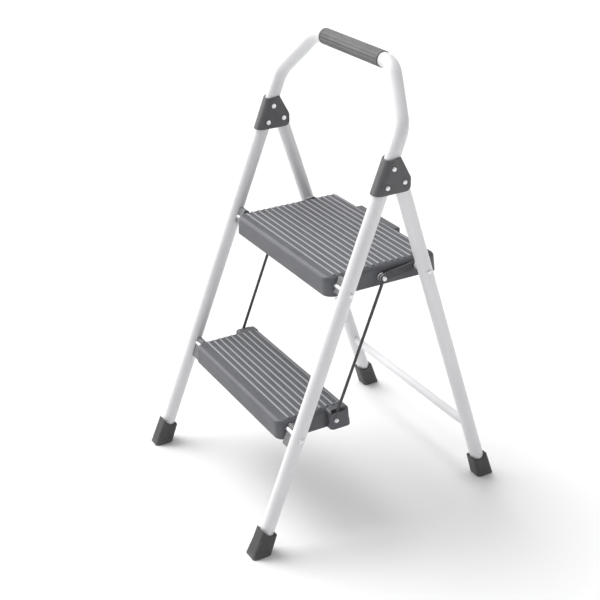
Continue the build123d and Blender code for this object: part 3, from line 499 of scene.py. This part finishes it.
def unite(piece, other, operation="UNION"):
    """Joins another closed shape to a piece, or cuts it away, and removes it."""
    if bpy.context.object.mode == "EDIT":
        bpy.ops.object.mode_set(mode="OBJECT")
    bpy.ops.object.select_all(action="DESELECT")
    piece.select_set(True)
    bpy.context.view_layer.objects.active = piece
    blend = piece.modifiers.new("shape", "BOOLEAN")
    blend.operation = operation
    blend.solver = "EXACT"
    blend.object = other
    bpy.ops.object.modifier_apply(modifier=blend.name)
    bpy.data.objects.remove(other)
    bpy.ops.object.mode_set(mode="EDIT")


def block(name, low, high):
    """A cube from one corner to the other, in edit mode."""
    return start(name, bpy.ops.mesh.primitive_cube_add, size=1,
                 location=[(a + b) / 2 for a, b in zip(low, high)],
                 scale=[b - a for a, b in zip(low, high)])


def barrel(name, low_x, high_x, y, z, radius, vertices=40):
    """A cylinder along X, in edit mode."""
    return start(name, bpy.ops.mesh.primitive_cylinder_add, vertices=vertices, radius=radius,
                 depth=high_x - low_x, location=((low_x + high_x) / 2, y, z), rotation=(0, pi / 2, 0))


front_corner = 0.018
rear_corner = 0.0105
rim_roll = 0.0085
skirt_draft = 0.0025
plate = 0.0034
roof_taper = 0.0022
rib_pitch = 0.0127
rib_width = 0.0050
rib_height = 0.0012
rib_margin = 0.0095
web_pitch = 0.043
web_thick = 0.0022
web_depth = 0.022
web_gap = 0.0006
boss_radius = 0.009
boss_round = 0.0008
bore_play = 0.0002
skirt_round = 0.0006
rib_taper = 0.0009
rib_round = 0.0007
rib_to_rear = 0.008
first_rib = {"upper_step": 0.0195, "lower_step": 0.0245}
lip_left = -0.086
lip_right = 0.046
lip_reach = 0.006
lip_root = 0.009
lip_drop = 0.014
lip_round = 0.0028
stipple_pitch = 0.0021


def upright(edge):
    """True for the shell's four corner edges, which are taller than any other upright edge."""
    return abs(edge.verts[0].co.z - edge.verts[1].co.z) > 0.02


def step_shell(name, half, front, rear, low_z, top):
    """Deck and skirt with rolled rim and rounded corners, hollowed from below."""
    shell = block(name, (-half, front, low_z), (half, rear, top))
    pick("VERT", lambda middle, vertex: middle.z > top - 0.001)
    bpy.ops.transform.resize(value=(1 - skirt_draft / half, 1, 1), center_override=(0, 0, top))
    pick("VERT", lambda middle, vertex: middle.z > top - 0.001 and middle.y > rear - 0.001)
    bpy.ops.transform.translate(value=(0, -skirt_draft, 0))
    pick("EDGE", lambda middle, edge: upright(edge) and middle.y < front + 0.01)
    bpy.ops.mesh.bevel(offset=front_corner, segments=9)
    pick("EDGE", lambda middle, edge: upright(edge) and middle.y > rear - 0.01)
    bpy.ops.mesh.bevel(offset=rear_corner, segments=7)
    pick("EDGE", lambda middle, edge: min(end.co.z for end in edge.verts) > top - 0.0001)
    bpy.ops.mesh.bevel(offset=rim_roll, segments=8)
    pick("FACE", lambda middle, face: face.normal.z < -0.9 and middle.z < low_z + 0.001)
    bpy.ops.mesh.inset(thickness=step_wall)
    middle = (0, (front + rear) / 2, 0)
    for rise in (top - rim_roll - low_z, rim_roll - plate):
        bpy.ops.mesh.extrude_region_move(TRANSFORM_OT_translate={"value": (0, 0, rise)})
        bpy.ops.transform.resize(value=(1 - roof_taper / half, 1 - 2 * roof_taper / (rear - front), 1),
                                 center_override=middle)
    return shell


def add_webs(half, front, rear, top):
    """Draws the stiffening webs down out of the roof of the hollow."""
    roof = top - plate

    def on_roof(middle, face):
        return face.normal.z < -0.9 and abs(middle.z - roof) < 0.0004

    pick("FACE", on_roof)
    mesh = bmesh.from_edit_mesh(bpy.context.object.data)
    rim = [corner.co.copy() for face in mesh.faces if face.select for corner in face.verts]
    side_x, front_y, rear_y = (max(at.x for at in rim), min(at.y for at in rim), max(at.y for at in rim))
    bpy.ops.mesh.inset(thickness=web_gap)
    across = [(place - 3) * web_pitch for place in range(7)]
    rows = int((rear - front - web_pitch) // web_pitch)
    middle_y = (front + rear) / 2
    along = [middle_y + (row - (rows - 1) / 2) * web_pitch for row in range(rows)]
    for web in across:
        for edge in (-web_thick / 2, web_thick / 2):
            slice_faces(on_roof, (1, 0, 0), (web + edge, 0, 0))
    for web in along:
        for edge in (-web_thick / 2, web_thick / 2):
            slice_faces(on_roof, (0, 1, 0), (0, web + edge, 0))

    def on_web(middle, face):
        inside = abs(middle.x) < side_x - web_gap and front_y + web_gap < middle.y < rear_y - web_gap
        crossed = min(abs(middle.x - web) for web in across) < web_thick / 2 or \
            min(abs(middle.y - web) for web in along) < web_thick / 2
        return on_roof(middle, face) and inside and crossed

    pick("FACE", on_web)
    bpy.ops.mesh.extrude_region_move(TRANSFORM_OT_translate={"value": (0, 0, -web_depth)})


def add_ribs(half, first, rear, top):
    """Raises the tread ribs out of the deck, each with tapered sides and a rounded top."""
    rib_half = half - rib_margin
    ribs = []
    y = first
    while y < rear - rib_to_rear:
        ribs.append(y)
        y += rib_pitch

    def on_deck(middle, face):
        return face.normal.z > 0.95 and abs(middle.z - top) < 0.0002

    for rib in ribs:
        for edge in (-rib_width / 2, rib_width / 2):
            slice_faces(on_deck, (0, 1, 0), (0, rib + edge, 0))
    for hand in (-1, 1):
        slice_faces(on_deck, (1, 0, 0), (hand * rib_half, 0, 0))
    pick("FACE", lambda middle, face: on_deck(middle, face) and abs(middle.x) < rib_half
         and min(abs(middle.y - rib) for rib in ribs) < rib_width / 4)
    bpy.ops.mesh.inset(thickness=rib_taper, depth=rib_height, use_individual=True)
    pick("EDGE", lambda middle, edge: min(end.co.z for end in edge.verts) > top + rib_height * 0.9)
    bpy.ops.mesh.bevel(offset=rib_round, segments=3)


def resin(name, top):
    """Grey resin: fine grained skirt, stippled valleys, and rib tops a little glossier and painted much
    lighter, a painted highlight.
    """
    finish, place, shader = new_finish(name)
    height = place.node("SeparateXYZ", {}, {"Vector": place}, "Z")
    over = place.node("SeparateXYZ", {}, {"Vector": place}, "X")
    back = place.node("SeparateXYZ", {}, {"Vector": place}, "Y")
    cloud = grain(place, 22.0, 4.0, 0.6)
    pores = grain(place, 850.0, 2.0)
    waves = 2 * pi / stipple_pitch
    stipple = over.maths("SINE", over * waves) * back.maths("SINE", back * waves)
    valley = between(top - 0.0003, top - 0.0001, height) * between(top + 0.0004, top + 0.0002, height)
    # The rib tops get a painted highlight further down: light grey, broken up by a stretched noise.
    rib_highlight = between(top + 0.0007, top + rib_height, height)
    highlight_breakup = between(0.62, 0.70, grain(stretched(place, (0.25, 1.0, 1.0)), 240.0, 4.0, 0.7))
    base = mixed(between(0.3, 0.7, cloud), (0.090, 0.092, 0.102, 1), (0.112, 0.114, 0.126, 1))
    # Painted highlight: the rib tops are mixed towards light grey.
    wear_and_highlight = mixed(rib_highlight * (0.80 - 0.35 * highlight_breakup), base, (0.43, 0.44, 0.47, 1))
    feed(shader,
         Base_Color=mixed(0.25 * valley * between(0.0, 1.0, stipple), wear_and_highlight, (0.055, 0.055, 0.062, 1)),
         Roughness=0.36 + 0.10 * pores - 0.06 * rib_highlight,
         Normal=relief(0.4 * pores + 1.2 * valley * stipple, 0.00020))
    return finish


def moulded_step(node, body, rear, ears=None):
    """One whole step. Its ears or its lip are joined on before the ribs are raised."""
    half = step_halves[node]
    low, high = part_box(node)
    top = high.z - rib_height
    axle = next(joint for joint in frame["joints"] if joint["child"] == body)["pos_m"]
    rivet_low, rivet_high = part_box(node.replace("step", "rod_rivets"))
    rivet_seat = ((rivet_low + rivet_high) / 2).yz
    step = step_shell(f"{node}_moulding", half, low.y, rear, low.z, top)
    add_webs(half, low.y, rear, top)
    if ears:
        ears(step, half, low, rear, top, rivet_seat)
    else:
        lip = block("lip", (lip_left, rear - lip_root, top - lip_drop), (lip_right, high.y, top))
        pick("EDGE", lambda middle, edge: middle.y > rear + 0.002 or (
            middle.z > top - 0.001 and abs(middle.x) > 0.03))
        bpy.ops.mesh.bevel(offset=lip_round, segments=4)
        unite(step, lip)
    for hand in (-1, 1):
        for y, z in ((axle[1], axle[2]), rivet_seat):
            ends = sorted((hand * (half - step_wall), hand * (half - step_wall - boss_length)))
            boss = barrel("boss", *ends, y, z, boss_radius)
            pick("EDGE", lambda middle, edge:
                 all(abs(end.co.x) < half - boss_length for end in edge.verts))
            bpy.ops.mesh.bevel(offset=boss_round, segments=2)
            unite(step, boss)
    unite(step, barrel("bore", -half - 0.02, half + 0.02, axle[1], axle[2], axle_radius + bore_play),
          "DIFFERENCE")
    add_ribs(half, low.y + first_rib[node], rear, top)
    pick("EDGE", lambda middle, edge: middle.z < low.z + 0.0001)
    bpy.ops.mesh.bevel(offset=skirt_round, segments=2)
    as_part(step, body, "step_resin", resin(f"{node}_resin", top), node)


rod_eye = 0.0064
rod_play = 0.0008
channel_wall = 0.003
ear_roll = 0.0055
ear_front_corner = 0.0065
slit_rise = 0.0094
slit_size = (0.012, 0.0075, 0.0014)
sliver = 0.00003


def rod_ears(step, half, low, rear, top, rivet):
    """Widens the lower step's rear on both sides and cuts each rod's channel into it."""
    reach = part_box("lower_step")[1].x
    rod_low, rod_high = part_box("right_rod")
    eye = rod_eye + rod_play
    channel = (rod_low.x - rod_play, rod_high.x + rod_play)
    ear_front = rivet[0] - eye - channel_wall
    for hand in (-1, 1):
        inner = half - rib_margin + 0.0004
        ear = block("ear", (min(hand * inner, hand * reach), ear_front, low.z),
                    (max(hand * inner, hand * reach), rear, top))
        pick("VERT", lambda middle, vertex: middle.z > top - 0.001 and middle.y > rear - 0.001)
        bpy.ops.transform.translate(value=(0, -skirt_draft, 0))
        pick("VERT", lambda middle, vertex: middle.z > top - 0.001 and hand * middle.x > half)
        bpy.ops.transform.translate(value=(-hand * skirt_draft, 0, 0))
        pick("EDGE", lambda middle, edge: upright(edge) and middle.y > rear - 0.01
             and hand * middle.x > half)
        bpy.ops.mesh.bevel(offset=rear_corner, segments=7)
        pick("EDGE", lambda middle, edge: upright(edge) and middle.y < ear_front + 0.001
             and hand * middle.x > half)
        bpy.ops.mesh.bevel(offset=ear_front_corner, segments=5)
        pick("EDGE", lambda middle, edge: min(end.co.z for end in edge.verts) > top - 0.0001
             and max(hand * end.co.x for end in edge.verts) > inner + 0.001)
        bpy.ops.mesh.bevel(offset=ear_roll, segments=7)
        unite(step, ear)
        hollow = sorted((hand * (inner - 0.001), hand * (half - step_wall)))
        unite(step, block("hollow", (hollow[0], ear_front + channel_wall, low.z - 0.002),
                          (hollow[1], rear - step_wall - 0.004, top - plate)), "DIFFERENCE")
        under = sorted((hand * half, hand * channel[1]))
        unite(step, block("under", (under[0], ear_front + channel_wall, low.z - 0.002),
                          (under[1], rear - channel_wall, rivet[1] - eye - step_wall)), "DIFFERENCE")
        sides = sorted((hand * channel[0], hand * channel[1]))
        unite(step, block("back", (sides[0] - sliver, rivet[0], rivet[1] - eye + 2 * sliver),
                          (sides[1] + sliver, rear + 0.01, top + 0.01)), "DIFFERENCE")
        unite(step, block("mouth", (sides[0] - 2 * sliver, rivet[0] - eye + 2 * sliver, rivet[1]),
                          (sides[1] + 2 * sliver, rivet[0] + 0.001, top + 0.01)), "DIFFERENCE")
        unite(step, barrel("seat", *sides, rivet[0], rivet[1], eye), "DIFFERENCE")
        slit = start("slit", bpy.ops.mesh.primitive_cube_add, size=1,
                     location=(hand * reach, rivet[0], rivet[1] + slit_rise),
                     rotation=(radians(45), 0, 0), scale=slit_size)
        unite(step, slit, "DIFFERENCE")


moulded_step("upper_step", "upper_step_body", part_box("upper_step")[1].y - lip_reach)
moulded_step("lower_step", "lower_step_body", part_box("lower_step")[1].y, rod_ears)

# ---------------------------------------------------------------- leg spacers
# Grey nylon blocks clamped between each front leg and the steps' sides by the axles.
# A groove down the upper ones makes room for the rod when the stool is folded.


def nylon(name, dark, light, rough):
    """Moulded nylon: waxy and matt, with faint lengthwise tool marks."""
    finish, place, shader = new_finish(name)
    cloud = grain(place, 90.0, 3.0)
    marks = grain(stretched(place, (1.0, 1.0, 0.08)), 700.0, 2.0)
    feed(shader,
         Base_Color=mixed(between(0.3, 0.7, cloud), (*dark, 1), (*light, 1)),
         Roughness=rough + 0.12 * marks,
         Normal=relief(marks, 0.00010))
    return finish


grey_nylon = nylon("grey_nylon", (0.17, 0.172, 0.178), (0.22, 0.222, 0.228), 0.46)
spacer_round = 0.0006
for side in ("left", "right"):
    for level in ("upper", "lower"):
        node = f"{side}_{level}_spacer"
        spacer = copied(node, f"{side}_{level}_leg_spacer")
        softened(spacer, spacer_round)
        as_part(spacer, "front_frame", "spacer_nylon", grey_nylon, node)

# ---------------------------------------------------------------- rods
# Each rod is round steel bar, flattened at both ends and closed into an eye that turns
# on a rivet of the step above and of the step below, then painted near black.


def dark_paint():
    """Near-black paint on bar and strip: satin, with bare bright rubs along its edges."""
    finish, place, shader = new_finish("rod_paint")
    cloud = grain(place, 120.0, 3.0)
    rubbed = edge_wear(place, 0.0006) * between(0.45, 0.6, grain(place, 300.0, 4.0, 0.7))
    paint = mixed(between(0.3, 0.7, cloud), (0.045, 0.045, 0.048, 1), (0.065, 0.065, 0.068, 1))
    feed(shader,
         Base_Color=mixed(0.7 * rubbed, paint, (0.30, 0.30, 0.31, 1)),
         Roughness=0.34 + 0.14 * cloud,
         Normal=relief(cloud, 0.00004))
    return finish


rod_paint = dark_paint()
rod_radius = 0.0027
eye_hole = 0.0031
bar_to_pin = 0.0052
flat_length = 0.013
flat_thin = 0.58
flat_wide = 1.18
upper_low, upper_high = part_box("upper_rod_rivets")
lower_low, lower_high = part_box("lower_rod_rivets")
upper_pin = ((upper_low + upper_high) / 2).yz
lower_pin = ((lower_low + lower_high) / 2).yz
rod_run = upper_pin - lower_pin
rod_length = rod_run.length
rod_tilt = atan2(rod_run[0], rod_run[1])
for hand, side in ((-1, "left"), (1, "right")):
    low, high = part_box(f"{side}_rod")
    rod_x = (low.x + high.x) / 2
    bar = start("bar", bpy.ops.mesh.primitive_cylinder_add, vertices=24, radius=rod_radius,
                depth=rod_length - 2 * bar_to_pin)
    for end in (-1, 1):
        for reach in (flat_length * 0.5, flat_length * 0.8, flat_length, flat_length * 1.6):
            slice_faces(lambda middle, face: True, (0, 0, 1), (0, 0, end * (rod_length / 2 - reach)))
    pick("VERT", lambda middle, vertex: abs(middle.z) > rod_length / 2 - flat_length * 0.9)
    bpy.ops.transform.resize(value=(flat_thin, flat_wide, 1))
    bpy.ops.object.mode_set(mode="OBJECT")
    eyes = []
    for end in (-1, 1):
        eye = start("eye", bpy.ops.mesh.primitive_torus_add, major_segments=40, minor_segments=14,
                    major_radius=(rod_eye + eye_hole) / 2, minor_radius=(rod_eye - eye_hole) / 2,
                    location=(0, 0, end * rod_length / 2), rotation=(0, pi / 2, 0))
        bpy.ops.mesh.select_all(action="SELECT")
        bpy.ops.transform.resize(value=(1.05, 1, 1))
        bpy.ops.object.mode_set(mode="OBJECT")
        eyes.append(eye)
    rod = joined(f"{side}_bar_and_eyes", [bar] + eyes)
    rod.rotation_euler = (-rod_tilt, 0, 0)
    rod.location = (rod_x, *((upper_pin + lower_pin) / 2))
    bpy.ops.object.transform_apply(location=True, rotation=True, scale=True)
    as_part(rod, f"{side}_rod_body", "dark_steel", rod_paint, f"{side}_rod")

# ---------------------------------------------------------------- lock links
# A strip of steel with rounded ends that ties the upper step to each rear leg. It turns
# on the rod's rivet and on a rivet through a pale nylon spacer on the leg.
pale_nylon = nylon("pale_nylon", (0.52, 0.52, 0.52), (0.66, 0.66, 0.66), 0.42)
strip_round = 0.0006
pin_round = 0.0003
bush_round = 0.0005
washer_round = 0.0002
for side in ("left", "right"):
    link = copied(f"{side}_lock_link", f"{side}_link_strip")
    softened(link, strip_round, 3)
    as_part(link, f"{side}_link_body", "dark_steel", rod_paint, f"{side}_lock_link")
    pin = copied(f"{side}_link_pin", f"{side}_link_rivet")
    softened(pin, pin_round)
    as_part(pin, f"{side}_link_body", "zinc_steel", zinc_plate, f"{side}_link_pin")
    spacer = copied(f"{side}_link_spacer", f"{side}_link_bush")
    softened(spacer, bush_round)
    as_part(spacer, "rear_frame", "spacer_nylon", pale_nylon, f"{side}_link_spacer")
for node, body in (("upper_rod_washers", "upper_step_body"), ("lower_rod_washers", "lower_step_body")):
    washers = copied(node, f"{node}_nylon")
    softened(washers, washer_round)
    as_part(washers, body, "spacer_nylon", pale_nylon, node)

# ---------------------------------------------------------------- floor, light and camera
# A plain white studio floor and backdrop, soft light from above and a softbox at the front
# left, and the camera at the front right, above the handle.
floor_half = 12.0
floor_gap = 0.0002
bpy.ops.object.select_all(action="DESELECT")
bpy.ops.mesh.primitive_plane_add(size=2 * floor_half, location=(0, 0, cad_low.z - floor_gap))
floor = bpy.context.object
floor.name = "studio_floor"

floor_paint, _, floor_shader = new_finish("studio_floor", 0.9)
floor_shader.inputs["Base Color"].default_value = (0.93, 0.93, 0.93, 1)
floor_shader.inputs["Specular IOR Level"].default_value = 0.1
floor.data.materials.append(floor_paint)

sky = bpy.data.worlds.new("studio")
sky.use_nodes = True
bpy.context.scene.world = sky
dome = sky.node_tree.nodes["Background"]
looking = Wire(sky.node_tree).node("TexCoord", {}, {}, "Generated")
lit_side = Vector((-0.82, 0.12, 0.56)).normalized()
facing = looking.node("VectorMath", {"operation": "DOT_PRODUCT"}, {0: looking, 1: lit_side}, "Value")
glow = between(-0.6, 0.95, facing)
light = mixed(glow * glow, (0.33, 0.33, 0.34, 1), (1.02, 1.02, 1.02, 1))
softbox = looking.node("VectorMath", {"operation": "DOT_PRODUCT"},
                       {0: looking, 1: Vector((-0.78, -0.40, 0.48)).normalized()}, "Value")
light = mixed(between(0.80, 0.95, softbox), light, (3.0, 3.0, 3.0, 1))
backdrop = looking.node("LightPath", {}, {}, "Is Camera Ray")
light = mixed(backdrop, light, (1.0, 1.0, 1.0, 1))
sky.node_tree.links.new(light.socket, dome.inputs["Color"])

bpy.ops.object.light_add(type="SUN", location=(-2, -1, 4))
window = bpy.context.object
window.name = "soft_window"
window.data.energy = 1.25
window.data.angle = radians(35)
window.rotation_euler = Vector((-0.55, -0.22, 1.0)).to_track_quat("Z", "Y").to_euler()

bpy.ops.object.camera_add(location=(1.746, -0.9951, 1.318))
camera = bpy.context.object
camera.name = "studio_camera"
turn = Euler((radians(64.185), 0, radians(60.966))).to_matrix()
camera.rotation_euler = (turn @ Matrix.Rotation(radians(-0.969), 3, "Z")).to_euler()
camera.data.lens = 72.73
camera.data.sensor_width = 36.0
camera.data.shift_x = -0.00775
camera.data.shift_y = -0.0031
bpy.context.scene.camera = camera
bpy.context.scene.view_settings.view_transform = "Standard"
